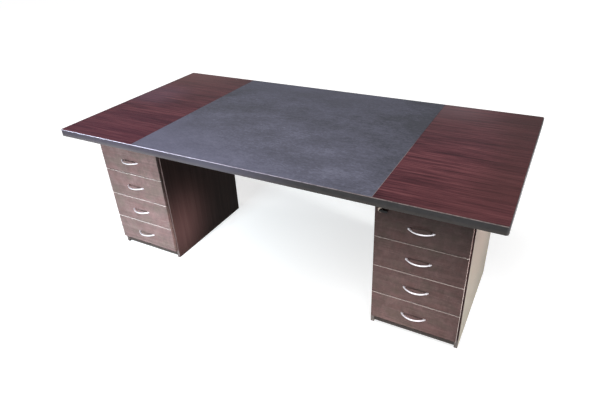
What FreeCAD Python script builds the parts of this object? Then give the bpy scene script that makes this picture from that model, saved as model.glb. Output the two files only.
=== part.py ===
# Double-pedestal desk with an inlaid top and eight drawers, in millimetres.
# X runs along the desk, Y runs from the drawer side to the back, Z is up.
# The origin lies on the floor under the middle of the top.
import FreeCAD, Part
import os
import re

# Driving dimensions: name, value, meaning
SIZES = [
    ("desk_length", 2200, "length of the top"),
    ("desk_depth", 1080, "depth of the top"),
    ("desk_height", 750, "floor to the writing surface"),
    ("top_thickness", 36, "whole top, seen at its edge"),
    ("trim_width", 3, "dark edge trim, measured inwards"),
    ("corner_radius", 11, "rounding of the top's corners in plan"),
    ("trim_arris", 2, "rounding of the trim's upper and lower arris"),
    ("surface_thickness", 6, "end panels and inlay on the core"),
    ("inlay_width", 1220, "dark writing inlay between the end panels"),
    ("joint_arris", 0.5, "rounding of the inlay and end panels along their joints"),
    ("side_overhang", 118, "end of the top to the outer side of a pedestal"),
    ("front_overhang", 133, "front of the top to the front of the carcass"),
    ("pedestal_width", 404, "over both side panels"),
    ("pedestal_depth", 590, "side panel, front to back"),
    ("board_thickness", 16, "carcass boards"),
    ("panel_arris", 0.8, "rounding of a side panel's upright edges"),
    ("floor_gap", 14, "floor to the base board"),
    ("front_thickness", 16, "drawer fronts and fascia"),
    ("front_inset", 7, "side panel left showing beside a front"),
    ("front_standoff", 2, "drawer front to carcass when shut"),
    ("front_arris", 1.2, "rounding of a front's face edges"),
    ("lowest_front", 50, "floor to the lowest front"),
    ("front_seam", 3, "gap between fronts"),
    ("fascia_height", 61, "fixed fascia over the top drawer"),
    ("fascia_gap", 2, "fascia to the underside of the top"),
    ("runner_space", 12.5, "carcass side to drawer side"),
    ("drawer_rear_gap", 72, "runner end to the back panel"),
    ("box_board", 12, "drawer sides and back"),
    ("box_lift", 20, "bottom of a front to the bottom of its box"),
    ("box_below_lock", 3, "drawer side to the lock barrel above it"),
    ("bottom_thickness", 4, "drawer bottom"),
    ("groove_lift", 10, "lower edge of a drawer side to its groove"),
    ("groove_depth", 5, "groove for the drawer bottom"),
    ("groove_play", 0.4, "room around the drawer bottom in its groove"),
    ("runner_wall", 1.2, "runner sheet"),
    ("runner_lip", 9, "fixed runner lips, from the carcass side"),
    ("runner_setback", 2, "carcass front to the fixed runner"),
    ("runner_drop", 3, "bottom of the box to the bottom of the runner"),
    ("rail_foot", 5, "bottom of the runner to the moving rail"),
    ("hood_gap", 3.8, "moving rail to the channel's upper lip"),
    ("roller_diameter", 20, "runner rollers"),
    ("roller_width", 5.6, "runner rollers"),
    ("roller_inset", 15, "end of a runner to the middle of its roller"),
    ("roller_play", 0.3, "roller to the track it carries or runs on"),
    ("roller_clear", 2, "room for a roller between its own track and the other rail"),
    ("axle_diameter", 5, "roller axles"),
    ("handle_splay", 4, "bar middle at the drawer face, outside its screw"),
    ("handle_rise", 25, "drawer face to the bar's middle line"),
    ("handle_bar", 7, "diameter of the bow"),
    ("handle_centres", 96, "between the fixing screws"),
    ("handle_boss", 9, "diameter of the screw bosses"),
    ("boss_length", 6, "screw boss, out from the drawer face"),
    ("screw_reach", 5, "handle screw inside its boss"),
    ("screw_diameter", 4, "handle screws"),
    ("screw_head", 8, "diameter of a handle screw head"),
    ("screw_head_height", 2.5, "handle screw head"),
    ("screw_play", 0.2, "room around a screw, on the radius"),
    ("top_screw_diameter", 5, "screws from the decks into the top"),
    ("top_screw_bite", 20, "top screw inside the core"),
    ("top_screw_head", 9, "diameter of a top screw head"),
    ("top_screw_head_height", 3, "top screw head"),
    ("top_screw_inset", 60, "deck edge to a top screw"),
    ("lock_inset", 24, "left edge of the front to the lock"),
    ("lock_drop", 17, "top edge of the front to the lock"),
    ("lock_flange", 22, "diameter of the lock's rim"),
    ("lock_flange_height", 2, "rim, out from the drawer face"),
    ("lock_barrel", 18, "diameter of the lock barrel"),
    ("lock_tail", 3, "barrel behind the drawer front"),
    ("lock_plug", 13, "diameter of the turning plug"),
    ("lock_play", 0.2, "room around barrel and plug, on the radius"),
    ("cam_pin", 6, "diameter of the plug's tail in the cam"),
    ("cam_width", 12, "cam plate"),
    ("cam_reach", 28, "lock axis to the cam's tip"),
    ("cam_thickness", 2, "cam plate"),
    ("key_blade_width", 7, "key blade"),
    ("key_blade_thickness", 2, "key blade"),
    ("key_blade_reach", 14, "key blade inside the plug"),
    ("key_standoff", 2.5, "lock rim to the folded key bow"),
    ("key_bow_length", 32, "lock axis to the end of the folded bow"),
    ("key_bow_width", 10, "folded key bow"),
    ("key_bow_thickness", 5, "folded key bow"),
]
ROWS = 4

doc = FreeCAD.newDocument("desk")
sheet = doc.addObject("Spreadsheet::Sheet", "Sizes")
for row, (alias, value, meaning) in enumerate(SIZES, start=1):
    sheet.set("A%d" % row, alias)
    sheet.set("B%d" % row, str(value))
    sheet.set("C%d" % row, meaning)
    sheet.setAlias("B%d" % row, alias)
doc.recompute()

ALIASES = re.compile(r"\b(" + "|".join(alias for alias, value, meaning in SIZES) + r")\b")
nodes = []

# Heights, depths and widths that several pieces share
UNDERSIDE = "(desk_height - top_thickness)"
CARCASS_FRONT = "(front_overhang - desk_depth / 2)"
CARCASS_INNER = "(pedestal_width - 2 * board_thickness)"
INSIDE_DEPTH = "(pedestal_depth - board_thickness)"
FRONT_WIDTH = "(pedestal_width - 2 * front_inset)"
FRONT_BACK = "(%s - front_standoff)" % CARCASS_FRONT
FRONT_FACE = "(%s - front_thickness)" % FRONT_BACK
FRONT_PITCH = "((%s - fascia_gap - fascia_height - lowest_front) / %d)" % (UNDERSIDE, ROWS)
FRONT_HEIGHT = "(%s - front_seam)" % FRONT_PITCH
BOX_WIDTH = "(%s - 2 * runner_space)" % CARCASS_INNER
BOX_HEIGHT = "(%s - box_lift - lock_drop - lock_barrel / 2 - box_below_lock)" % FRONT_HEIGHT
DRAWER_LENGTH = "(%s - runner_setback - drawer_rear_gap)" % INSIDE_DEPTH
FLANGE_UNDER = "(runner_wall + roller_diameter + 2 * roller_play + roller_clear)"
RUNNER_HEIGHT = "(%s + 2 * runner_wall + hood_gap)" % FLANGE_UNDER
RAIL_HEIGHT = "(%s + runner_wall - rail_foot)" % FLANGE_UNDER
CORE_TOP = "(desk_height - surface_thickness)"
HALF_CHORD = "(handle_centres / 2 + handle_splay)"
BOW_RADIUS = "((%s^2 + handle_rise^2) / (2 * handle_rise))" % HALF_CHORD
ALONG_Y = FreeCAD.Rotation(FreeCAD.Vector(1, 0, 0), -90)
ALONG_X = FreeCAD.Rotation(FreeCAD.Vector(0, 1, 0), 90)
ALONG_Z = FreeCAD.Rotation()


def bind(item, prop, text):
    """Bind a property to a formula written with the size names."""
    item.setExpression(prop, ALIASES.sub(r"Sizes.\1", text))


def place(item, x, y, z, turn=ALONG_Z):
    """Put an object's origin at a formula for each axis."""
    item.Placement = FreeCAD.Placement(FreeCAD.Vector(), turn)
    for axis, text in zip("xyz", (x, y, z)):
        bind(item, "Placement.Base." + axis, text)


def block(name, low, size):
    """A box from its low corner and its three sizes."""
    item = doc.addObject("Part::Box", name)
    place(item, *low)
    for prop, text in zip(("Length", "Width", "Height"), size):
        bind(item, prop, text)
    return item


def rod(name, start, diameter, length, turn):
    """A cylinder from the middle of its first end."""
    item = doc.addObject("Part::Cylinder", name)
    place(item, *start, turn)
    bind(item, "Radius", "(%s) / 2" % diameter)
    bind(item, "Height", length)
    return item


def fused(name, members):
    """Pieces joined into one solid."""
    item = doc.addObject("Part::MultiFuse", name)
    item.Shapes = members
    return item


def group(name, members):
    """Separate solids kept together."""
    item = doc.addObject("Part::Compound", name)
    item.Links = members
    return item


def cut(name, base, tools):
    """A piece with other shapes taken out of it."""
    item = doc.addObject("Part::Cut", name)
    item.Base = base
    item.Tool = group(name + "_tools", tools)
    return item


def common(name, base, tool):
    """What two shapes share."""
    item = doc.addObject("Part::Common", name)
    item.Base = base
    item.Tool = tool
    return item


def round_edges(body, name, wanted, radius):
    """Round the chosen edges of a body's last feature."""
    doc.recompute()
    base = body.Tip
    names = ["Edge%d" % (i + 1) for i, edge in enumerate(base.Shape.Edges) if wanted(edge)]
    feature = body.newObject("PartDesign::Fillet", name)
    feature.Base = (base, names)
    bind(feature, "Radius", radius)
    doc.recompute()


def board_body(name, low, size):
    """A PartDesign body that starts as a plain board."""
    body = doc.addObject("PartDesign::Body", name)
    place(body, *low)
    plank = body.newObject("PartDesign::AdditiveBox", name + "_plank")
    for prop, text in zip(("Length", "Width", "Height"), size):
        bind(plank, prop, text)
    return body


def bore(body, name, diameter, x, z):
    """A round hole through a front, along its thickness."""
    hole = body.newObject("PartDesign::SubtractiveCylinder", name)
    place(hole, x, "0", z, ALONG_Y)
    bind(hole, "Radius", "(%s) / 2" % diameter)
    bind(hole, "Height", "front_thickness")


def upright(edge):
    """True for a vertical straight edge."""
    low, high = edge.BoundBox.ZMin, edge.BoundBox.ZMax
    return edge.BoundBox.XLength < 1e-6 and edge.BoundBox.YLength < 1e-6 and high - low > 1e-6


def level(edge):
    """True for an edge that lies in a horizontal plane."""
    return edge.BoundBox.ZLength < 1e-6


def along_depth(edge):
    """True for an upper edge that runs from front to back."""
    box = edge.BoundBox
    return box.XLength < 1e-6 and box.ZLength < 1e-6 and box.ZMin > 1e-6


def on_face(edge):
    """True for a straight edge in a front's outer face."""
    straight = edge.Curve.TypeId == "Part::GeomLine"
    return straight and abs(edge.BoundBox.YMin) < 1e-6 and edge.BoundBox.YLength < 1e-6


def rounded_slab(name, inset, radius):
    """The plan of the top, drawn in by an inset, at full thickness."""
    low = ("%s - desk_length / 2" % inset, "%s - desk_depth / 2" % inset, UNDERSIDE)
    size = ("desk_length - 2 * %s" % inset, "desk_depth - 2 * %s" % inset, "top_thickness")
    slab = board_body(name, low, size)
    round_edges(slab, name + "_corners", upright, radius)
    return slab


def make_top(screw_places):
    """Core board, edge trim, two end panels and the writing inlay."""
    outer = rounded_slab("trim_outline", "0", "corner_radius")
    round_edges(outer, "trim_arrises", level, "trim_arris")
    inner = rounded_slab("inside_trim", "trim_width", "max(corner_radius - trim_width; 1)")
    nodes.append(cut("top_edge_trim", outer, [inner]))

    across = ("desk_depth", "surface_thickness")
    front = "-desk_depth / 2"
    end_width = "desk_length / 2 - inlay_width / 2"
    pieces = [
        ("left_end_panel", "-desk_length / 2", end_width),
        ("writing_inlay", "-inlay_width / 2", "inlay_width"),
        ("right_end_panel", "inlay_width / 2", end_width),
    ]
    for name, x, width in pieces:
        zone = board_body(name + "_zone", (x, front, CORE_TOP), (width,) + across)
        round_edges(zone, name + "_joint", along_depth, "joint_arris")
        nodes.append(common(name, inner, zone))

    low = ("-desk_length / 2", front, UNDERSIDE)
    zone = block("core_zone", low, ("desk_length", "desk_depth", "top_thickness - surface_thickness"))
    core = common("core_blank", inner, zone)
    hole = "top_screw_diameter + 2 * screw_play"
    holes = [
        rod("core_hole_%d" % i, (x, y, UNDERSIDE), hole, "top_screw_bite", ALONG_Z)
        for i, (x, y) in enumerate(screw_places)
    ]
    nodes.append(cut("top_core", core, holes))


def make_top_screws(screw_places):
    """Round-head screws up through the decks into the core."""
    deck_under = "(%s - board_thickness)" % UNDERSIDE
    screws = []
    for i, (x, y) in enumerate(screw_places):
        head_low = (x, y, "%s - top_screw_head_height" % deck_under)
        head = rod("top_head_%d" % i, head_low, "top_screw_head", "top_screw_head_height", ALONG_Z)
        reach = "board_thickness + top_screw_bite"
        shank = rod("top_shank_%d" % i, (x, y, deck_under), "top_screw_diameter", reach, ALONG_Z)
        screws.append(fused("top_screw_%d" % i, [head, shank]))
    nodes.append(group("top_screws", screws))


def deck_screw_places(centre):
    """Four screws near the corners of a pedestal's deck."""
    half = "(%s / 2 - top_screw_inset)" % CARCASS_INNER
    near = "%s + top_screw_inset" % CARCASS_FRONT
    far = "%s + %s - top_screw_inset" % (CARCASS_FRONT, INSIDE_DEPTH)
    return [("%s %s %s" % (centre, sign, half), y) for sign in "-+" for y in (near, far)]


def make_carcass(side, centre):
    """Two side panels to the floor, base, back, deck and the fixed fascia over the drawers."""
    thick = "board_thickness"
    names = ("inner_side", "outer_side") if side == "right" else ("outer_side", "inner_side")
    left_x = "%s - pedestal_width / 2" % centre
    right_x = "%s + pedestal_width / 2 - board_thickness" % centre
    for name, x in zip(names, (left_x, right_x)):
        size = (thick, "pedestal_depth", UNDERSIDE)
        panel = board_body("%s_%s" % (side, name), (x, CARCASS_FRONT, "0"), size)
        round_edges(panel, "%s_%s_arrises" % (side, name), upright, "panel_arris")
        nodes.append(panel)

    inner_x = "%s - %s / 2" % (centre, CARCASS_INNER)
    base_low = (inner_x, CARCASS_FRONT, "floor_gap")
    nodes.append(block(side + "_base_board", base_low, (CARCASS_INNER, INSIDE_DEPTH, thick)))
    back_low = (inner_x, "%s + %s" % (CARCASS_FRONT, INSIDE_DEPTH), "floor_gap")
    back_size = (CARCASS_INNER, thick, "%s - floor_gap" % UNDERSIDE)
    nodes.append(block(side + "_back_panel", back_low, back_size))

    deck_low = (inner_x, CARCASS_FRONT, "%s - board_thickness" % UNDERSIDE)
    deck = block(side + "_deck_blank", deck_low, (CARCASS_INNER, INSIDE_DEPTH, thick))
    hole = "top_screw_diameter + 2 * screw_play"
    holes = [
        rod("%s_deck_hole_%d" % (side, i), (x, y, deck_low[2]), hole, thick, ALONG_Z)
        for i, (x, y) in enumerate(deck_screw_places(centre))
    ]
    nodes.append(cut(side + "_deck", deck, holes))

    fascia_z = "lowest_front + %d * %s" % (ROWS, FRONT_PITCH)
    fascia_low = ("%s - %s / 2" % (centre, FRONT_WIDTH), "%s - front_thickness" % CARCASS_FRONT, fascia_z)
    fascia = board_body(side + "_fascia", fascia_low, (FRONT_WIDTH, "front_thickness", "fascia_height"))
    round_edges(fascia, side + "_fascia_arrises", on_face, "front_arris")
    nodes.append(fascia)


def make_fixed_runner(name, wall_x, sign, z):
    """A sheet channel on the carcass side, with the roller that carries the drawer's rail."""
    y = "%s + runner_setback" % CARCASS_FRONT

    def strip(label, reach, low_z, height):
        """A length of the channel's sheet, from the carcass side inwards."""
        x = wall_x if sign > 0 else "%s - %s" % (wall_x, reach)
        return block(name + label, (x, y, low_z), (reach, DRAWER_LENGTH, height))

    web = strip("_web", "runner_wall", z, RUNNER_HEIGHT)
    track = strip("_track", "runner_lip", z, "runner_wall")
    hood = strip("_hood", "runner_lip", "%s + %s - runner_wall" % (z, RUNNER_HEIGHT), "runner_wall")
    roller_z = "%s + %s - roller_play - roller_diameter / 2" % (z, FLANGE_UNDER)
    roller_y = "%s + roller_inset" % y
    turn = ALONG_X if sign > 0 else ALONG_X.inverted()
    axle_x = "%s + %d * runner_wall" % (wall_x, sign)
    axle_start = (axle_x, roller_y, roller_z)
    axle = rod(name + "_axle", axle_start, "axle_diameter", "runner_lip - runner_wall", turn)
    channel = fused(name + "_channel", [web, track, hood, axle])
    wheel_x = "%s + %d * (runner_lip - roller_width)" % (wall_x, sign)
    return [channel, make_roller(name, wheel_x, roller_y, roller_z, turn)]


def make_roller(name, x, y, z, turn):
    """A plain wheel bored for its axle."""
    wheel = rod(name + "_wheel", (x, y, z), "roller_diameter", "roller_width", turn)
    bored = rod(name + "_wheel_bore", (x, y, z), "axle_diameter + 2 * roller_play", "roller_width", turn)
    return cut(name + "_roller", wheel, [bored])


def make_moving_rail(name, wall_x, sign, z):
    """The rail screwed to a drawer side, its flange over the fixed roller, with a roller behind."""
    drawer_x = "%s + %d * runner_space" % (wall_x, sign)

    def strip(label, reach, low_z, height):
        """A length of the rail's sheet, from the drawer side outwards."""
        x = "%s - %s" % (drawer_x, reach) if sign > 0 else drawer_x
        return block(name + label, (x, CARCASS_FRONT, low_z), (reach, DRAWER_LENGTH, height))

    leg = strip("_leg", "runner_wall", "%s + rail_foot" % z, RAIL_HEIGHT)
    reach = "(runner_space - runner_lip + roller_width)"
    flange = strip("_flange", reach, "%s + %s" % (z, FLANGE_UNDER), "runner_wall")
    roller_z = "%s + runner_wall + roller_play + roller_diameter / 2" % z
    roller_y = "%s + %s - roller_inset" % (CARCASS_FRONT, DRAWER_LENGTH)
    turn = ALONG_X.inverted() if sign > 0 else ALONG_X
    axle_x = "%s - %d * runner_wall" % (drawer_x, sign)
    axle_start = (axle_x, roller_y, roller_z)
    axle = rod(name + "_axle", axle_start, "axle_diameter", "%s - runner_wall" % reach, turn)
    rail = fused(name + "_rail", [leg, flange, axle])
    wheel_x = "%s - %d * (%s - roller_width)" % (drawer_x, sign, reach)
    return [rail, make_roller(name, wheel_x, roller_y, roller_z, turn)]


def make_runners(side, centre, row, drawer):
    """Both fixed runners of a drawer and, as a node of the drawer, both moving rails."""
    z = "(lowest_front + %d * %s + box_lift - runner_drop)" % (row, FRONT_PITCH)
    fixed = []
    moving = []
    for hand, sign in (("left", 1), ("right", -1)):
        wall_x = "(%s - %d * %s / 2)" % (centre, sign, CARCASS_INNER)
        fixed += make_fixed_runner("%s_%s_fixed" % (drawer, hand), wall_x, sign, z)
        moving += make_moving_rail("%s_%s_moving" % (drawer, hand), wall_x, sign, z)
    nodes.append(group(drawer + "_rails", moving))
    return fixed


def make_box(drawer, centre, front_z):
    """Two grooved sides, a back over the bottom, and the bottom slid in along the grooves."""
    z = "(%s + box_lift)" % front_z
    half = "%s / 2" % BOX_WIDTH
    groove_z = "%s + groove_lift" % z
    groove_height = "bottom_thickness + groove_play"
    sides = []
    for hand, x, groove_x in (
        ("left", "%s - %s" % (centre, half), "%s - %s + box_board - groove_depth" % (centre, half)),
        ("right", "%s + %s - box_board" % (centre, half), "%s + %s - box_board" % (centre, half)),
    ):
        name = "%s_%s_side" % (drawer, hand)
        plank = block(name + "_plank", (x, FRONT_BACK, z), ("box_board", DRAWER_LENGTH, BOX_HEIGHT))
        low = (groove_x, FRONT_BACK, groove_z)
        groove = block(name + "_groove", low, ("groove_depth", DRAWER_LENGTH, groove_height))
        sides.append(cut(name, plank, [groove]))

    inner = "(%s - 2 * box_board)" % BOX_WIDTH
    back_z = "%s + bottom_thickness" % groove_z
    back_y = "%s + %s - box_board" % (FRONT_BACK, DRAWER_LENGTH)
    back_low = ("%s - %s / 2" % (centre, inner), back_y, back_z)
    back_height = "%s - groove_lift - bottom_thickness" % BOX_HEIGHT
    back = block(drawer + "_back", back_low, (inner, "box_board", back_height))

    width = "(%s + 2 * groove_depth - 2 * groove_play)" % inner
    bottom_low = ("%s - %s / 2" % (centre, width), FRONT_BACK, groove_z)
    bottom = block(drawer + "_bottom", bottom_low, (width, DRAWER_LENGTH, "bottom_thickness"))
    nodes.append(group(drawer + "_box", sides + [back, bottom]))


def make_front(drawer, centre, front_z, locked):
    """The drawer front with its handle screw holes and, on one drawer, the lock hole."""
    low = ("%s - %s / 2" % (centre, FRONT_WIDTH), FRONT_FACE, front_z)
    front = board_body(drawer + "_front", low, (FRONT_WIDTH, "front_thickness", FRONT_HEIGHT))
    for hand, sign in (("left", "-"), ("right", "+")):
        x = "%s / 2 %s handle_centres / 2" % (FRONT_WIDTH, sign)
        hole = "screw_diameter + 2 * screw_play"
        bore(front, "%s_%s_hole" % (drawer, hand), hole, x, "%s / 2" % FRONT_HEIGHT)
    if locked:
        hole = "lock_barrel + 2 * lock_play"
        bore(front, drawer + "_lock_hole", hole, "lock_inset", "%s - lock_drop" % FRONT_HEIGHT)
    round_edges(front, drawer + "_front_arrises", on_face, "front_arris")
    nodes.append(front)


def make_handle(drawer, centre, front_z):
    """A round bar bowed out from the drawer face, with two screw bosses and their screws."""
    z = "(%s + %s / 2)" % (front_z, FRONT_HEIGHT)
    ring = doc.addObject("Part::Torus", drawer + "_bow_ring")
    place(ring, centre, "%s + %s - handle_rise" % (FRONT_FACE, BOW_RADIUS), z)
    bind(ring, "Radius1", BOW_RADIUS)
    bind(ring, "Radius2", "handle_bar / 2")
    reach = "(handle_rise + handle_bar)"
    half = "(%s + handle_bar)" % HALF_CHORD
    low = ("%s - %s" % (centre, half), "%s - %s" % (FRONT_FACE, reach), "%s - handle_bar" % z)
    zone = block(drawer + "_bow_zone", low, ("2 * %s" % half, reach, "2 * handle_bar"))
    parts = [common(drawer + "_bow", ring, zone)]
    bores = []
    screws = []
    for hand, sign in (("left", "-"), ("right", "+")):
        name = "%s_%s_" % (drawer, hand)
        x = "%s %s handle_centres / 2" % (centre, sign)
        boss_low = (x, "%s - boss_length" % FRONT_FACE, z)
        parts.append(rod(name + "boss", boss_low, "handle_boss", "boss_length", ALONG_Y))
        tip = (x, "%s - screw_reach" % FRONT_FACE, z)
        bores.append(rod(name + "boss_bore", tip, "screw_diameter + 2 * screw_play", "screw_reach", ALONG_Y))
        shank = rod(name + "shank", tip, "screw_diameter", "screw_reach + front_thickness", ALONG_Y)
        head = rod(name + "head", (x, FRONT_BACK, z), "screw_head", "screw_head_height", ALONG_Y)
        screws.append(fused(name + "screw", [shank, head]))
    bow = cut(drawer + "_bow_bored", fused(drawer + "_bow_blank", parts), bores)
    nodes.append(group(drawer + "_handle", [bow] + screws))


def make_lock(centre, front_z):
    """A cam lock: barrel in the front, plug and cam that turn together, and a folding key."""
    x = "%s - %s / 2 + lock_inset" % (centre, FRONT_WIDTH)
    z = "(%s + %s - lock_drop)" % (front_z, FRONT_HEIGHT)
    rim_y = "(%s - lock_flange_height)" % FRONT_FACE
    barrel_length = "(front_thickness + lock_tail)"
    whole_length = "(lock_flange_height + %s)" % barrel_length

    flange = rod("lock_rim", (x, rim_y, z), "lock_flange", "lock_flange_height", ALONG_Y)
    tube = rod("lock_tube", (x, FRONT_FACE, z), "lock_barrel", barrel_length, ALONG_Y)
    plug_bore = rod("lock_plug_bore", (x, rim_y, z), "lock_plug + 2 * lock_play", whole_length, ALONG_Y)
    nodes.append(cut("lock_barrel", fused("lock_barrel_blank", [flange, tube]), [plug_bore]))

    plug_end = "(%s + %s + lock_play)" % (rim_y, whole_length)
    plug_length = "%s + lock_play" % whole_length
    plug_rod = rod("lock_plug_rod", (x, rim_y, z), "lock_plug", plug_length, ALONG_Y)
    tail = rod("lock_plug_tail", (x, plug_end, z), "cam_pin", "cam_thickness", ALONG_Y)
    slot_width = "(key_blade_width + 2 * lock_play)"
    slot_height = "(key_blade_thickness + 2 * lock_play)"
    slot_low = ("%s - %s / 2" % (x, slot_width), rim_y, "%s - %s / 2" % (z, slot_height))
    slot = block("lock_key_slot", slot_low, (slot_width, "key_blade_reach", slot_height))
    nodes.append(cut("lock_plug", fused("lock_plug_blank", [plug_rod, tail]), [slot]))

    hub = rod("lock_cam_hub", (x, plug_end, z), "cam_width", "cam_thickness", ALONG_Y)
    arm_low = (x, plug_end, "%s - cam_width / 2" % z)
    arm = block("lock_cam_arm", arm_low, ("cam_reach", "cam_thickness", "cam_width"))
    cam_bore = rod("lock_cam_bore", (x, plug_end, z), "cam_pin + 2 * lock_play", "cam_thickness", ALONG_Y)
    nodes.append(cut("lock_cam", fused("lock_cam_blank", [hub, arm]), [cam_bore]))

    bow_y = "(%s - key_standoff - key_bow_thickness)" % rim_y
    end_x = "%s + key_bow_length - key_bow_width / 2" % x
    near = rod("key_bow_near", (x, bow_y, z), "key_bow_width", "key_bow_thickness", ALONG_Y)
    far = rod("key_bow_far", (end_x, bow_y, z), "key_bow_width", "key_bow_thickness", ALONG_Y)
    web_low = (x, bow_y, "%s - key_bow_width / 2" % z)
    web_length = "key_bow_length - key_bow_width / 2"
    web = block("key_bow_web", web_low, (web_length, "key_bow_thickness", "key_bow_width"))
    blade_low = ("%s - key_blade_width / 2" % x, bow_y, "%s - key_blade_thickness / 2" % z)
    blade_length = "key_bow_thickness + key_standoff + key_blade_reach"
    blade = block("key_blade", blade_low, ("key_blade_width", blade_length, "key_blade_thickness"))
    nodes.append(fused("lock_key", [near, far, web, blade]))


def make_pedestal(side, centre):
    """One carcass with its drawers, numbered from the top."""
    make_carcass(side, centre)
    fixed = []
    for row in range(ROWS):
        number = ROWS - row
        drawer = "%s_drawer_%d" % (side, number)
        front_z = "(lowest_front + %d * %s)" % (row, FRONT_PITCH)
        locked = side == "right" and number == 1
        make_front(drawer, centre, front_z, locked)
        make_box(drawer, centre, front_z)
        make_handle(drawer, centre, front_z)
        fixed += make_runners(side, centre, row, drawer)
        if locked:
            make_lock(centre, front_z)
    nodes.append(group(side + "_fixed_runners", fixed))


CENTRES = {
    "left": "(pedestal_width / 2 + side_overhang - desk_length / 2)",
    "right": "(desk_length / 2 - side_overhang - pedestal_width / 2)",
}
top_screw_places = [spot for centre in CENTRES.values() for spot in deck_screw_places(centre)]
make_top(top_screw_places)
make_top_screws(top_screw_places)
for side_name, middle in CENTRES.items():
    make_pedestal(side_name, middle)
doc.recompute()

# Every object has to be sound before anything is written
for item in doc.Objects:
    if "Invalid" in item.State or "Error" in item.State:
        raise RuntimeError("%s failed: %s" % (item.Label, item.State))
for node in nodes:
    if node.Shape.isNull() or not node.Shape.isValid():
        raise RuntimeError("%s has no sound shape" % node.Label)

os.makedirs("parts", exist_ok=True)
for node in nodes:
    node.Shape.exportStep("parts/%s.step" % node.Label)
    print("%-26s %2d solids %12.0f mm3" % (node.Label, len(node.Shape.Solids), node.Shape.Volume))
print(len(nodes), "nodes")
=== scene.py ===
# %% [markdown]
# # A long desk on two drawer pedestals
#
# The desk has a deep top with red-brown wood ends, a charcoal writing inlay
# between them and a dark edge trim. Two pedestals carry it, with four drawers
# each. Its pieces come from a CAD model and stay where that model puts them.
# This lesson gives every piece its finish, with the grain, wear, painted light
# and shade and fine relief that the solids don't have, and sets up the camera
# and the light.

# %% Load the desk
import math

import bpy
import numpy as np
from mathutils import Matrix, Vector


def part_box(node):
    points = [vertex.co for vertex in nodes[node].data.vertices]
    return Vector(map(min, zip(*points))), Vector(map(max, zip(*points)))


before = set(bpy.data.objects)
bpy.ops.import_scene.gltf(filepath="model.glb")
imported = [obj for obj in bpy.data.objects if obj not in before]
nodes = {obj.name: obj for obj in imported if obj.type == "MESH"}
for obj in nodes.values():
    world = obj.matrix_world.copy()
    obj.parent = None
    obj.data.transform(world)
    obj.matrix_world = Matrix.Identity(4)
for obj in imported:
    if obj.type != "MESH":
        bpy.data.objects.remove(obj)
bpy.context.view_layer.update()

# %% [markdown]
# ## The camera
#
# The photograph looks down across the desk from eye height, at the right end
# of the drawer side. A camera can be aimed with a Track To constraint, but its
# slight roll would be lost. Here three angles give the view direction, and the
# camera's matrix is filled with its own right, up and back directions. The
# lens follows from the focal length in pixels, because a picture 612 pixels
# wide falls on a sensor 36 mm wide.

# %% Place the camera
PICTURE_WIDTH = 612
SENSOR_WIDTH = 36.0
FOCAL_PIXELS = 494.5
CAMERA_PLACE = Vector((1.1681, -2.0417, 1.6831))
CAMERA_TURN = math.radians(29.125)
CAMERA_DIP = math.radians(30.945)
CAMERA_ROLL = math.radians(-2.561)


def camera_matrix(place, turn, dip, roll):
    """A camera at a place, turned left of +Y, dipped below level and rolled about its view."""
    level = math.cos(dip)
    forward = Vector((-math.sin(turn) * level, math.cos(turn) * level, -math.sin(dip)))
    right = forward.cross(Vector((0, 0, 1))).normalized()
    up = right.cross(forward)
    rolled_right = math.cos(roll) * right + math.sin(roll) * up
    rolled_up = math.cos(roll) * up - math.sin(roll) * right
    turned = Matrix((rolled_right, rolled_up, -forward)).transposed()
    return Matrix.Translation(place) @ turned.to_4x4()


camera_data = bpy.data.cameras.new("camera")
camera_data.sensor_fit = "HORIZONTAL"
camera_data.sensor_width = SENSOR_WIDTH
camera_data.lens = FOCAL_PIXELS * SENSOR_WIDTH / PICTURE_WIDTH
camera = bpy.data.objects.new("camera", camera_data)
camera.matrix_world = camera_matrix(CAMERA_PLACE, CAMERA_TURN, CAMERA_DIP, CAMERA_ROLL)
bpy.context.scene.collection.objects.link(camera)
bpy.context.scene.camera = camera
print("lens %.2f mm" % camera_data.lens)

# %% [markdown]
# ## Shader maths as plain sums
#
# A finish is a small net of nodes. Placing them by hand in the editor is good
# for trying things, but a long net is easier to read as a sum. The class below
# wraps one socket. Adding or multiplying two of them adds a Math node, and
# every other node comes from one method, which takes the node's type, its
# settings and what goes into its sockets.

# %% A socket that can be added and multiplied
class Signal:
    """One output socket of a node, usable in sums; without a socket it starts a net."""

    def __init__(self, tree, socket=None):
        self.tree = tree
        self.socket = socket

    def node(self, kind, settings=None, sockets=None, output=0):
        """Add a node of any type: settings first, then socket values or links.

        The output is named or numbered, and None is for a node that ends a net.
        """
        made = self.tree.nodes.new("ShaderNode" + kind)
        for name, value in (settings or {}).items():
            if name == "stops":
                fill_ramp(made.color_ramp, value)
            else:
                setattr(made, name, value)
        for name, value in (sockets or {}).items():
            if isinstance(value, Signal):
                self.tree.links.new(value.socket, made.inputs[name])
            else:
                made.inputs[name].default_value = value
        return Signal(self.tree, None if output is None else made.outputs[output])

    def other(self, output):
        """Another output of the same node."""
        return Signal(self.tree, self.socket.node.outputs[output])

    def math(self, operation, first, second):
        """A Math node on two numbers or signals."""
        return self.node("Math", {"operation": operation}, {0: first, 1: second})

    def __add__(self, other):
        return self.math("ADD", self, other)

    def __sub__(self, other):
        return self.math("SUBTRACT", self, other)

    def __rsub__(self, other):
        return self.math("SUBTRACT", other, self)

    def __mul__(self, other):
        return self.math("MULTIPLY", self, other)

    __radd__ = __add__
    __rmul__ = __mul__


def fill_ramp(color_ramp, stops):
    """Set a colour ramp's stops from (position, colour) pairs."""
    while len(color_ramp.elements) < len(stops):
        color_ramp.elements.new(0.5)
    for element, (position, colour) in zip(color_ramp.elements, stops):
        element.position = position
        element.color = (*colour, 1.0)


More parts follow.
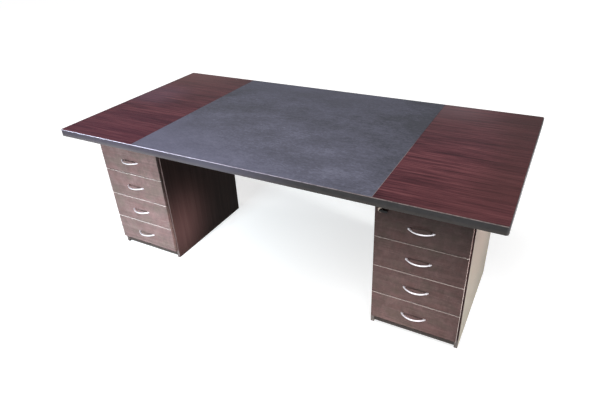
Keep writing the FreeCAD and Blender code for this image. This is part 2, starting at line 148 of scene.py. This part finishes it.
# %% [markdown]
# ## Patterns and masks
#
# Wood, leathercloth and enamel all start from noise on Object coordinates.
# These are metres from the middle of the desk, at the floor, so a scale of 100
# means features about 10 mm across. Generated coordinates would stretch with
# each piece instead, and all drawers would show the same grain. A Mapping node
# stretches the noise into grain, and a soft step turns a number into a mask.

# %% Noise and soft steps
MM = 0.001


def noise(coords, scale, detail=3.0, roughness=0.55, bend=0.0):
    """Fractal noise whose frequency along x, y and z is given per metre."""
    stretched = coords.node("Mapping", {}, {"Vector": coords, "Scale": scale})
    sockets = {"Vector": stretched, "Scale": 1.0, "Detail": detail}
    sockets.update({"Roughness": roughness, "Distortion": bend})
    return coords.node("TexNoise", {"noise_dimensions": "3D"}, sockets)


def step(value, low, high):
    """0 below low, 1 above high and a soft step between; high may be the lower one."""
    settings = {"interpolation_type": "SMOOTHSTEP", "clamp": True}
    sockets = {"Value": value, "From Min": low, "From Max": high}
    return value.node("MapRange", settings, sockets)


def within(value, limit, full, none):
    """1 up to full millimetres past a limit, 0 from none millimetres on; minus counts below it."""
    return step(value, limit + none * MM, limit + full * MM)


def axes(coords):
    """The three coordinates as separate signals."""
    x = coords.node("SeparateXYZ", {}, {"Vector": coords})
    return x, x.other("Y"), x.other("Z")


def off_middle(x):
    """How far a point lies from the desk's middle, to the left or to the right."""
    return x.node("Math", {"operation": "ABSOLUTE"}, {0: x})


# %% [markdown]
# ## Colours, relief and materials
#
# A mask mixes two colours, a colour ramp turns noise into a range of tones, and
# a Bump node turns it into relief too fine for the solids. Every finish is one
# Principled shader. Its painting function returns the sockets that change over
# the surface, and the sockets that don't are given as plain values.

# %% Mixes, ramps, bumps and the material itself
# A Mix node has sockets of the same names for numbers, vectors and colours.
# These are the numbers of the ones for colours.
FACTOR = 0
COLOUR_A = 6
COLOUR_B = 7
MIXED_COLOUR = 2


def mix(mask, plain, other):
    """The plain colour where the mask is 0 and the other one where it is 1."""
    sockets = {
        FACTOR: mask,
        COLOUR_A: plain if isinstance(plain, Signal) else (*plain, 1.0),
        COLOUR_B: other if isinstance(other, Signal) else (*other, 1.0),
    }
    return mask.node("Mix", {"data_type": "RGBA"}, sockets, output=MIXED_COLOUR)


def ramp(value, *stops):
    """A colour ramp over a value from 0 to 1."""
    return value.node("ValToRGB", {"stops": stops}, {"Fac": value})


def relief(height, depth, strength=1.0):
    """A bump whose height of 1 stands for a depth in metres."""
    return height.node("Bump", {}, {"Height": height, "Distance": depth, "Strength": strength})


def finish(name, paint, **fixed):
    """A material: paint(coords) gives the sockets that vary, fixed the ones that don't."""
    material = bpy.data.materials.new(name)
    material.use_nodes = True
    tree = material.node_tree
    shader = tree.nodes["Principled BSDF"]
    coords = Signal(tree).node("TexCoord", output="Object")
    for socket, value in fixed.items():
        shader.inputs[socket.replace("_", " ")].default_value = value
    for socket, signal in paint(coords).items():
        tree.links.new(signal.socket, shader.inputs[socket])
    print("finish", name, "has", len(tree.nodes), "nodes")
    return material


# %% [markdown]
# ## The red-brown wood ends
#
# The ends are veneered: the grain runs along the desk in long dark and red
# streaks. An image of real veneer would be the quick way, but it repeats and
# blurs close up. Four noises stretched along X are added instead: broad bands,
# a figure of patches about 2 cm wide, streaks under 1 cm, and fine pores that
# also give the surface its relief.

# %% Grain of the wood ends
VENEER_TONES = (
    (0.34, (0.014, 0.006, 0.009)),
    (0.46, (0.056, 0.018, 0.025)),
    (0.57, (0.114, 0.038, 0.045)),
    (0.72, (0.185, 0.074, 0.080)),
)
PORE_DEPTH = 0.06 * MM


def veneer_grain(coords):
    """The fresh veneer's colour, with the streaks and pores that it is made of."""
    bands = noise(coords, (0.8, 9.0, 9.0), detail=2.0)
    figure = noise(coords, (3.2, 52.0, 52.0), detail=3.0, bend=0.6)
    streaks = noise(coords, (4.5, 130.0, 130.0), detail=6.0, roughness=0.70, bend=0.4)
    pores = noise(coords, (26.0, 900.0, 900.0), detail=2.0)
    tone = 0.24 * bands + 0.32 * figure + 0.68 * streaks + 0.20 * pores - 0.225
    return ramp(tone, *VENEER_TONES), streaks, pores


# %% [markdown]
# ## Tone and painted light on the wood ends
#
# The veneer's tone changes over the top: its back is browner than its front,
# and the front is russet at the right. The purple-crimson at the left front is
# a painted cool reflection, the pale haze along the back edge is a painted
# sheen, and a painted shade darkens the right end. Painting these marks on an
# image would fix them to one size of picture. Here each one is a soft mask on
# where a point lies along and across the desk. The joint beside the inlay shows
# as a line at the right end, with a painted highlight along the front and dark
# along the back.

# %% Wood ends
BACK_BROWN = (0.075, 0.045, 0.046)
CRIMSON_REFLECTION = (0.090, 0.020, 0.042)
RUSSET = (0.070, 0.028, 0.026)
SHADED_BROWN = (0.036, 0.016, 0.015)
MAUVE_SHEEN = (0.150, 0.105, 0.118)
ROSE_SHEEN = (0.190, 0.090, 0.090)
PURPLE = (0.150, 0.086, 0.130)
JOINT_HIGHLIGHT = (0.32, 0.29, 0.28)
DARK_JOINT = (0.010, 0.008, 0.008)
INLAY_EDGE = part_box("writing_inlay")[1].x


def paint_veneer(coords):
    """Red-brown veneer with its tone, its painted light and the joint to the inlay."""
    colour, streaks, pores = veneer_grain(coords)
    x, y, _ = axes(coords)
    # Browner towards the back.
    colour = mix(0.45 * step(y, -0.2, 0.5), colour, BACK_BROWN)
    front = step(y, 0.3, -0.5)
    # Painted cool reflection: the front's left end is tinted purple-crimson.
    colour = mix(0.35 * step(x, 0.2, -0.9) * front, colour, CRIMSON_REFLECTION)
    colour = mix(0.4 * step(x, 0.4, 1.0) * front, colour, RUSSET)
    # Painted shade darkens the right end, except along its front edge.
    shaded_end = step(x, 0.85, 1.05) * step(y, -0.48, -0.30)
    colour = mix(0.5 * shaded_end, colour, SHADED_BROWN)
    # Painted sheen: a pale mauve haze along the back of the right end and a rose one towards the
    # back left.
    back = step(y, 0.25, 0.50)
    painted_sheen_right = back * step(x, 0.95, 0.70) * step(x, 0.0, 0.4)
    colour = mix(0.35 * painted_sheen_right, colour, MAUVE_SHEEN)
    colour = mix(0.40 * back * step(x, -0.5, -1.05), colour, ROSE_SHEEN)
    purple_left = step(x, -0.75, -1.0) * step(y, -0.12, 0.04) * step(y, 0.34, 0.14)
    colour = mix(0.30 * purple_left, colour, PURPLE)
    joint = within(x, INLAY_EDGE, full=0.0, none=-1.5) * within(x, INLAY_EDGE, full=0.8, none=2.2)
    # A painted highlight marks the joint along the front.
    colour = mix(0.7 * joint * step(y, 0.1, -0.15), colour, JOINT_HIGHLIGHT)
    colour = mix(0.8 * joint * step(y, 0.0, 0.2), colour, DARK_JOINT)
    return {
        "Base Color": colour,
        "Roughness": 0.30 + 0.16 * streaks,
        "Normal": relief(step(pores, 0.35, 0.6), PORE_DEPTH),
    }


wood_ends = finish("red_brown_veneer", paint_veneer, Specular_IOR_Level=0.012)

# %% [markdown]
# ## The charcoal writing inlay
#
# The inlay is a sheet of leathercloth: a very fine pebble, slightly cloudy,
# with pale scuffs and a few specks from use. Towards the front left it is
# painted paler by light and cooler by a reflection. A pebbled mesh would need
# millions of faces, so Voronoi cells about 1.3 mm across make the pebble as a
# bump. Slow noise makes the clouds, and quick noise the grit.

# %% Writing inlay
INLAY_TONES = (
    (0.28, (0.0350, 0.036, 0.0460)),
    (0.52, (0.0855, 0.086, 0.1165)),
    (0.74, (0.1600, 0.161, 0.2160)),
)
REFLECTED_COOL_GREY = (0.125, 0.125, 0.190)
BACK_GREY = (0.100, 0.100, 0.140)
SCUFF_GREY = (0.30, 0.30, 0.33)
SPECK_GREY = (0.45, 0.45, 0.48)
PEBBLES_PER_METRE = 780.0
PEBBLE_DEPTH = 0.25 * MM


def paint_inlay(coords):
    """Charcoal leathercloth with scuffs and specks, and painted light and reflection that make the
    front left paler and cooler.
    """
    pebble_sockets = {"Vector": coords, "Scale": PEBBLES_PER_METRE}
    pebbles = coords.node("TexVoronoi", {"feature": "F1"}, pebble_sockets)
    clouds = noise(coords, (4.5, 6.5, 6.5), detail=4.0, roughness=0.6)
    rubbed = noise(coords, (22.0, 48.0, 48.0), detail=5.0, roughness=0.75)
    grit = noise(coords, (75.0, 140.0, 140.0), detail=3.0, roughness=0.7)
    dust = noise(coords, (140.0, 140.0, 140.0), detail=1.0)
    x, y, _ = axes(coords)
    # Painted light: the inlay grows paler towards the front left.
    painted_light_front_left = step(0.35 * x + y, 0.75, -0.75)
    dark_sides = step(off_middle(x), 0.36, 0.58)
    tone = 0.46 * clouds + 0.42 * rubbed + 0.40 * grit + 0.25 * painted_light_front_left
    colour = ramp(tone - 0.045 * dark_sides - 0.304, *INLAY_TONES)
    # Painted reflection: the inlay turns a cooler blue-grey towards the front left.
    cool_reflection = step(0.5 * x + y, -0.2, -0.8)
    colour = mix(0.5 * cool_reflection, colour, REFLECTED_COOL_GREY)
    pale_back = step(y, 0.15, 0.50) * step(x, 0.55, 0.20)
    colour = mix(0.35 * pale_back, colour, BACK_GREY)
    scuffs = step(rubbed, 0.66, 0.78) * step(clouds, 0.45, 0.60)
    colour = mix(0.35 * scuffs, colour, SCUFF_GREY)
    colour = mix(0.5 * step(dust, 0.80, 0.84), colour, SPECK_GREY)
    return {
        "Base Color": colour,
        "Roughness": 0.46 + 0.18 * clouds,
        "Normal": relief(pebbles, PEBBLE_DEPTH, 0.5),
    }


leathercloth = finish("charcoal_leathercloth", paint_inlay, Specular_IOR_Level=0.06)

# %% [markdown]
# ## The edge trim
#
# The trim is a hard dark edging glued round the top. A painted highlight runs
# along its upper edge at the front. A painted mask could mark that line, but it
# would not follow a desk of another size. Here it is a mask on the height, kept
# to the front by a second mask on the depth. Painted light makes the face of the
# trim paler towards the left and in the middle, and its lower edge is browner.

# %% Edge trim
TOP_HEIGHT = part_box("top_edge_trim")[1].z
TOP_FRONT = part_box("top_edge_trim")[0].y
TOP_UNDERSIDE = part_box("top_edge_trim")[0].z
DARK_GREY = (0.0210, 0.0198, 0.0208)
MID_GREY = (0.0350, 0.0332, 0.0350)
LIT_PLUM_GREY = (0.0285, 0.0200, 0.0310)
LIT_MIDDLE_GREY = (0.062, 0.054, 0.074)
LOWER_EDGE_BROWN = (0.085, 0.070, 0.058)
HIGHLIGHT_COOL = (0.53, 0.48, 0.58)
HIGHLIGHT_WARM = (0.42, 0.33, 0.31)
NICK_DEPTH = 0.2 * MM


def paint_trim(coords):
    """Dark edging with a painted highlight along the front upper edge and painted light on its
    face.
    """
    x, y, z = axes(coords)
    mottle = noise(coords, (30.0, 30.0, 60.0), detail=4.0)
    nicks = noise(coords, (55.0, 55.0, 20.0), detail=3.0)
    colour = ramp(mottle, (0.3, DARK_GREY), (0.7, MID_GREY))
    # Painted light: the trim's left half is paler and tinted plum.
    colour = mix(0.6 * step(x, 0.1, -0.5), colour, LIT_PLUM_GREY)
    # Painted light: the middle of the trim is paler and cooler.
    painted_light_middle = step(x, -0.45, -0.05) * step(x, 0.42, 0.03)
    colour = mix(0.78 * painted_light_middle, colour, LIT_MIDDLE_GREY)
    # Browner towards the lower edge.
    colour = mix(0.30 * within(z, TOP_UNDERSIDE, full=4, none=20), colour, LOWER_EDGE_BROWN)
    # Painted highlight along the upper edge at the front, cooler at the left and warmer at the
    # right.
    upper_edge = within(z, TOP_HEIGHT, full=-1.2, none=-2.6)
    front_face = within(y, TOP_FRONT, full=2.0, none=3.5)
    highlight_strength = 0.15 + 0.6 * step(x, 0.8, -0.6) + 0.25 * step(nicks, 0.35, 0.6)
    painted_highlight = mix(step(x, 0.2, 0.7), HIGHLIGHT_COOL, HIGHLIGHT_WARM)
    colour = mix(upper_edge * front_face * highlight_strength, colour, painted_highlight)
    return {
        "Base Color": colour,
        "Roughness": 0.40 + 0.2 * mottle,
        "Normal": relief(nicks, NICK_DEPTH, 0.4),
    }


edging = finish("dark_edging", paint_trim, Specular_IOR_Level=0.25)

# %% [markdown]
# ## Walnut laminate on the panels
#
# Panels and drawer fronts are boards with a dark walnut laminate. On the
# panels the printed grain stands upright, on the fronts it lies along the
# drawer. One function makes both: the noise is stretched along the axis that
# is asked for. Seen along its face a panel shows a cream haze, as satin
# laminate does in a bright room. A lower roughness would mirror the room
# instead, so the haze is the shader's Sheen. The front edges are banded, with a
# painted highlight at their corners and painted warm bounce light from the
# floor at the feet.

# %% Laminate grain
def walnut_tone(coords, along):
    """Streaks and finer fibres stretched along one axis, from about 0.3 to 0.7."""
    coarse = [54.0, 54.0, 54.0]
    fine = [420.0, 420.0, 420.0]
    coarse["xyz".index(along)] = 1.8
    fine["xyz".index(along)] = 9.0
    streaks = noise(coords, coarse, detail=5.0, roughness=0.6, bend=0.3)
    fibres = noise(coords, fine, detail=2.0)
    return 0.75 * streaks + 0.25 * fibres, fibres


# %% Panels
PANEL_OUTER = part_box("right_outer_side")[1].x
PANEL_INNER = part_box("right_inner_side")[0].x
CARCASS_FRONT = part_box("right_outer_side")[0].y
FLOOR_HEIGHT = 0.0
PANEL_TONES = (
    (0.34, (0.0226, 0.0109, 0.0102)),
    (0.52, (0.0290, 0.0140, 0.0131)),
    (0.70, (0.0370, 0.0190, 0.0173)),
)
BAND_BROWN = (0.060, 0.040, 0.037)
ARRIS_HIGHLIGHT = (0.22, 0.19, 0.17)
FLOOR_BOUNCE_GREY = (0.150, 0.135, 0.125)
CREAM_SHEEN = (0.98, 0.86, 0.65, 1.0)
PANEL_FIBRE_DEPTH = 0.04 * MM


def paint_panel(coords):
    """Upright walnut grain, with banded front edges, painted highlights at their corners and
    painted floor bounce at the feet.
    """
    tone, fibres = walnut_tone(coords, "z")
    colour = ramp(tone, *PANEL_TONES)
    x, y, z = axes(coords)
    across = off_middle(x)
    outer = within(across, PANEL_OUTER, full=-1.4, none=-2.2)
    inner = within(across, PANEL_INNER, full=1.4, none=2.2)
    banded = within(y, CARCASS_FRONT, full=1.2, none=2.2)
    colour = mix(0.25 * banded, colour, BAND_BROWN)
    # Painted highlight on the corners of the banded front edges, strongest on the outer sides.
    colour = mix((0.4 * outer + 0.1 * inner) * banded, colour, ARRIS_HIGHLIGHT)
    # Painted bounce light from the floor: the front edges turn warm grey at the feet, more on the
    # right.
    foot = within(z, FLOOR_HEIGHT, full=36, none=56)
    bounce_strength = 0.15 + 0.45 * step(x, -0.3, 0.3)
    colour = mix(bounce_strength * foot * banded, colour, FLOOR_BOUNCE_GREY)
    return {
        "Base Color": colour,
        "Roughness": 0.17 + 0.10 * fibres,
        "Normal": relief(fibres, PANEL_FIBRE_DEPTH),
    }


panel_laminate = finish(
    "walnut_panel",
    paint_panel,
    Specular_IOR_Level=0.02,
    Sheen_Weight=1.0,
    Sheen_Roughness=0.25,
    Sheen_Tint=CREAM_SHEEN,
)

# %% [markdown]
# ## The drawer fronts
#
# The fronts are mottled, from years of hands and cloths, and a painted
# highlight runs along their upper edges, so each drawer ends in a thin light
# line. A painted highlight runs down their outer edges too, stronger low down.
# Eight materials with a line each would do it. One is enough, because the
# drawers repeat: the remainder of the height divided by the drawers' pitch is
# the height on any single front.

# %% Drawer fronts
FRONT_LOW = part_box("left_drawer_4_front")[0].z
FRONT_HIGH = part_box("left_drawer_4_front")[1].z
FRONT_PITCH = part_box("left_drawer_3_front")[0].z - FRONT_LOW
FRONT_TALL = FRONT_HIGH - FRONT_LOW
FRONT_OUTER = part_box("right_drawer_4_front")[1].x
FRONT_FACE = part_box("right_drawer_4_front")[0].y
FRONT_TONES = (
    (0.34, (0.039, 0.024, 0.021)),
    (0.50, (0.064, 0.038, 0.035)),
    (0.66, (0.098, 0.058, 0.055)),
)
REDDENED = (0.073, 0.036, 0.033)
OLIVE_BROWN = (0.056, 0.042, 0.033)
EDGE_HIGHLIGHT = (0.46, 0.38, 0.35)
FRONT_FIBRE_DEPTH = 0.05 * MM


def paint_front(coords):
    """Mottled walnut, with a painted highlight along its upper edge and its outer one."""
    x, y, z = axes(coords)
    tone, fibres = walnut_tone(coords, "x")
    mottle = noise(coords, (34.0, 34.0, 26.0), detail=6.0, roughness=0.72)
    colour = ramp(0.45 * tone + 0.55 * mottle, *FRONT_TONES)
    hue = noise(coords, (10.0, 10.0, 17.0), detail=5.0, roughness=0.68)
    colour = mix(0.40 * step(hue, 0.48, 0.64), colour, REDDENED)
    colour = mix(0.40 * step(hue, 0.52, 0.36), colour, OLIVE_BROWN)
    up_front = coords.math("FLOORED_MODULO", z - FRONT_LOW, FRONT_PITCH)
    upper = within(up_front, FRONT_TALL, full=-0.8, none=-1.6)
    outer = within(off_middle(x), FRONT_OUTER, full=-1.0, none=-1.8)
    at_face = within(y, FRONT_FACE, full=3.5, none=5.0)
    # Painted highlight along the upper edge of every front.
    colour = mix(0.9 * upper * at_face, colour, EDGE_HIGHLIGHT)
    # Painted highlight along the outer edge, stronger towards the bottom.
    outer_highlight_strength = 0.06 + 0.80 * step(z, 0.62, 0.15)
    colour = mix(outer_highlight_strength * outer * at_face, colour, EDGE_HIGHLIGHT)
    return {
        "Base Color": colour,
        "Roughness": 0.22 + 0.08 * fibres,
        "Normal": relief(fibres, FRONT_FIBRE_DEPTH),
    }


front_laminate = finish("walnut_front", paint_front, Specular_IOR_Level=0.12)

# %% [markdown]
# ## Bright metal
#
# The handles are satin chrome, the lock is nickel and the screws are zinc.
# Bright metal needs little colour but does need uneven roughness, or its
# reflections look drawn. The handles are not quite fully metallic: a satin
# surface also scatters light like paint, and the bows stay bright to their
# ends.

# %% Chrome, nickel and zinc
def paint_chrome(coords):
    """Satin chrome, slightly hazy."""
    hazy = noise(coords, (70.0, 70.0, 70.0), detail=3.0)
    colour = ramp(hazy, (0.3, (0.80, 0.77, 0.82)), (0.7, (0.88, 0.86, 0.90)))
    return {"Base Color": colour, "Roughness": 0.26 + 0.08 * hazy}


def paint_nickel(coords):
    """Warm, dark nickel with turning marks."""
    turned = noise(coords, (900.0, 120.0, 900.0), detail=2.0)
    colour = ramp(turned, (0.3, (0.26, 0.21, 0.18)), (0.7, (0.40, 0.33, 0.29)))
    return {"Base Color": colour, "Roughness": 0.25 + 0.2 * turned}


def paint_zinc(coords):
    """Grey zinc with a fine spangle."""
    spangle = noise(coords, (700.0, 700.0, 700.0), detail=3.0)
    colour = ramp(spangle, (0.3, (0.50, 0.50, 0.48)), (0.7, (0.66, 0.66, 0.64)))
    return {"Base Color": colour, "Roughness": 0.3 + 0.2 * spangle}


# %% [markdown]
# ## Enamel, melamine, backing and plastic
#
# Most of the rest is hidden until a drawer opens or someone looks below: white
# enamel on the runners, pale melamine on the drawer boxes and a dark backing
# sheet under the top. The bow of the key is black plastic. Each of the four
# could be painted by a function of its own, but all are one speckled noise in
# the colour, the roughness and a shallow bump. So one function makes them, and
# only the numbers differ.

# %% Speckled finishes
def speckled(grain, detail, dark, pale, matt, depth, strength=1.0, roughness=0.55):
    """A painting function: noise from a dark to a pale stop, as roughness and as relief."""
    def paint(coords):
        speckle = noise(coords, (grain, grain, grain), detail=detail, roughness=roughness)
        return {
            "Base Color": ramp(speckle, dark, pale),
            "Roughness": matt[0] + matt[1] * speckle,
            "Normal": relief(speckle, depth, strength),
        }
    return paint


paint_enamel = speckled(
    grain=500.0,
    detail=2.0,
    dark=(0.3, (0.72, 0.72, 0.69)),
    pale=(0.7, (0.80, 0.80, 0.78)),
    matt=(0.32, 0.14),
    depth=0.08 * MM,
    strength=0.5,
)
paint_melamine = speckled(
    grain=260.0,
    detail=4.0,
    dark=(0.35, (0.50, 0.47, 0.42)),
    pale=(0.65, (0.64, 0.61, 0.56)),
    matt=(0.42, 0.16),
    depth=0.05 * MM,
    roughness=0.7,
)
paint_backing_and_shade = speckled(
    grain=180.0,
    detail=5.0,
    dark=(0.35, (0.012, 0.008, 0.007)),
    pale=(0.65, (0.024, 0.017, 0.014)),
    matt=(0.6, 0.2),
    depth=0.1 * MM,
    roughness=0.7,
)
paint_key = speckled(
    grain=1400.0,
    detail=2.0,
    dark=(0.3, (0.003, 0.003, 0.003)),
    pale=(0.7, (0.007, 0.007, 0.008)),
    matt=(0.4, 0.2),
    depth=0.04 * MM,
)

# %% [markdown]
# ## Handing out the finishes
#
# Every piece already carries the name of its material slot. Picking finishes
# by hand for 56 pieces would be slow, so each slot's material is swapped for
# the finish made above, and the meshes stay untouched. The base boards are the
# exception: they take the backing's dark finish as painted shade, where the
# fronts overhang them.

# %% One finish for each slot
by_slot = {
    "end_veneer": wood_ends,
    "inlay": leathercloth,
    "edge_trim": edging,
    "carcass": panel_laminate,
    "drawer_front": front_laminate,
    "core_board": finish("dark_backing_and_shade", paint_backing_and_shade),
    "drawer_box": finish("pale_melamine", paint_melamine),
    "runner_enamel": finish("white_enamel", paint_enamel),
    "handle_metal": finish("satin_chrome", paint_chrome, Metallic=0.88),
    "lock_metal": finish("nickel", paint_nickel, Metallic=1.0),
    "key_plastic": finish("black_plastic", paint_key, Specular_IOR_Level=0.2),
    "steel_screws": finish("zinc", paint_zinc, Metallic=1.0),
}

# %% Dress every piece
for node in nodes.values():
    for place in node.material_slots:
        place.material = by_slot[place.material.name]
# Painted shade: the base boards take the dark backing finish.
for side in ("left", "right"):
    nodes[side + "_base_board"].material_slots[0].material = by_slot["core_board"]
print("dressed", len(nodes), "pieces")

# %% [markdown]
# ## The floor
#
# The desk stands on a plain pale floor. A floor in plain white paint would
# turn grey away from the lamps. So the floor glows by itself where the camera
# or a reflection looks at it, a little less near the desk, and its own shading
# lies under the glow, so the shadow of the desk stays. For the light that
# shades the desk it is plain pale paint.

# %% Floor plane
FLOOR_HALF = 14.0
corners = np.array([(-1, -1, 0), (1, -1, 0), (1, 1, 0), (-1, 1, 0)], dtype=float) * FLOOR_HALF
floor_mesh = bpy.data.meshes.new("floor")
floor_mesh.from_pydata(corners.tolist(), [], [(0, 1, 2, 3)])
floor = bpy.data.objects.new("floor", floor_mesh)
bpy.context.scene.collection.objects.link(floor)
print("floor", 2 * FLOOR_HALF, "m wide")

# %% Floor finish
NEAR_GLOW = 0.66
FAR_GLOW = 0.95
GLOW_RISES_FROM = 1.2
GLOW_RISES_TO = 4.0
FLOOR_COLOUR = (0.60, 0.60, 0.60, 1.0)


def seen_directly(tree):
    """1 for what the camera sees, straight or in a mirror or glass, and 0 for light that shades."""
    camera_ray = Signal(tree).node("LightPath", output="Is Camera Ray")
    glossy = camera_ray.other("Is Glossy Ray")
    through = camera_ray.other("Is Transmission Ray")
    unscattered = camera_ray.math("LESS_THAN", camera_ray.other("Diffuse Depth"), 0.5)
    mirrored = (glossy + through) * unscattered
    settings = {"operation": "ADD", "use_clamp": True}
    return camera_ray.node("Math", settings, {0: camera_ray, 1: mirrored})


floor_material = bpy.data.materials.new("pale_floor")
floor_material.use_nodes = True
tree = floor_material.node_tree
tree.nodes.clear()
seen = seen_directly(tree)
shaded = seen.node("BsdfDiffuse", {}, {"Color": FLOOR_COLOUR})
place = Signal(tree).node("TexCoord", output="Object")
distance = place.node("VectorMath", {"operation": "LENGTH"}, {0: place}, output="Value")
level = NEAR_GLOW + (FAR_GLOW - NEAR_GLOW) * step(distance, GLOW_RISES_FROM, GLOW_RISES_TO)
white_sockets = {"Base Color": FLOOR_COLOUR, "Roughness": 1.0, "Specular IOR Level": 0.0}
white_sockets.update({"Emission Color": level, "Emission Strength": 1.0})
whitened = seen.node("BsdfPrincipled", {}, white_sockets)
both = seen.node("MixShader", {}, {0: seen, 1: shaded, 2: whitened})
both.node("OutputMaterial", {}, {"Surface": both}, output=None)
floor_mesh.materials.append(floor_material)
print("floor finish has", len(tree.nodes), "nodes")

# %% [markdown]
# ## The white surroundings
#
# The world is dim for shading but plain white where the camera or a reflection
# looks at it. One bright world for both would be simpler, but it would light
# the desk evenly from all sides and wash out its dark kneehole. The same test
# as on the floor tells the two apart.

# %% World
SKY_LEVEL = 0.05
WHITE = (1, 1, 1, 1)
world = bpy.data.worlds.new("studio")
bpy.context.scene.world = world
world.use_nodes = True
tree = world.node_tree
tree.nodes.clear()
seen = seen_directly(tree)
dim = seen.node("Background", {}, {"Color": WHITE, "Strength": SKY_LEVEL})
bright = seen.node("Background", {}, {"Color": WHITE, "Strength": 1.0})
sky = seen.node("MixShader", {}, {0: seen, 1: dim, 2: bright})
sky.node("OutputWorld", {}, {"Surface": sky}, output=None)
print("world shades at", SKY_LEVEL)

# %% [markdown]
# ## The lamps
#
# A broad lamp high over the front is the main light, as a bright ceiling would
# be. Three small soft boxes near the floor lift the drawer fronts and the
# kneehole, which the top would leave dark. Four more light the ends and the
# backs of the pedestals. Point lamps would draw hard shadows, so all are area
# lamps. Only the ceiling shows in reflections.

# %% Lamps
def lamp(name, place, target, size, watts, colour=(1, 1, 1), spread=180, mirrored=False):
    """A square soft lamp at a place, facing a target, in reflections only if mirrored."""
    data = bpy.data.lights.new(name, "AREA")
    data.shape = "SQUARE"
    data.size = size
    data.energy = watts
    data.color = colour
    data.spread = math.radians(spread)
    item = bpy.data.objects.new(name, data)
    item.location = place
    aim = Vector(target) - Vector(place)
    item.rotation_euler = aim.to_track_quat("-Z", "Y").to_euler()
    item.visible_camera = False
    item.visible_glossy = mirrored
    bpy.context.scene.collection.objects.link(item)
    print("lamp", name, watts, "W")


lamp("ceiling", (0.8, -2.2, 5.0), (0.5, -0.8, 0.4), size=6.0, watts=420, mirrored=True)
lamp(
    "left_soft_box", (-0.72, -2.4, 0.2), (-0.68, -0.42, 0.17),
    size=0.60, watts=29.6, colour=(0.74, 0.90, 0.99), spread=55,
)
lamp(
    "right_soft_box", (0.66, -1.9, 0.06), (0.69, -0.42, 0.07),
    size=0.16, watts=3.0, colour=(0.92, 0.97, 1.0), spread=44,
)
lamp(
    "kneehole_soft_box", (0.25, -0.41, 0.06), (-0.58, -0.38, 0.14),
    size=0.2, watts=1.3, colour=(0.96, 0.94, 0.95), spread=36,
)
lamp(
    "right_end_soft_box", (2.4, -0.25, 0.72), (0.98, -0.12, 0.57),
    size=0.3, watts=14.0, colour=(0.97, 1.0, 1.0), spread=40,
)
lamp("left_end_soft_box", (-2.4, -0.12, 0.45), (-0.98, -0.12, 0.38), size=0.3, watts=3.0, spread=40)
lamp("left_back_soft_box", (-0.78, 2.6, 0.45), (-0.78, 0.18, 0.38), size=0.3, watts=3.5, spread=24)
lamp("right_back_soft_box", (0.78, 2.6, 0.45), (0.78, 0.18, 0.38), size=0.3, watts=3.5, spread=24)

# %% [markdown]
# ## Finishing
#
# The picture is shown with the Standard view, so colours come out as written.

# %% Finish
bpy.context.scene.view_settings.view_transform = "Standard"
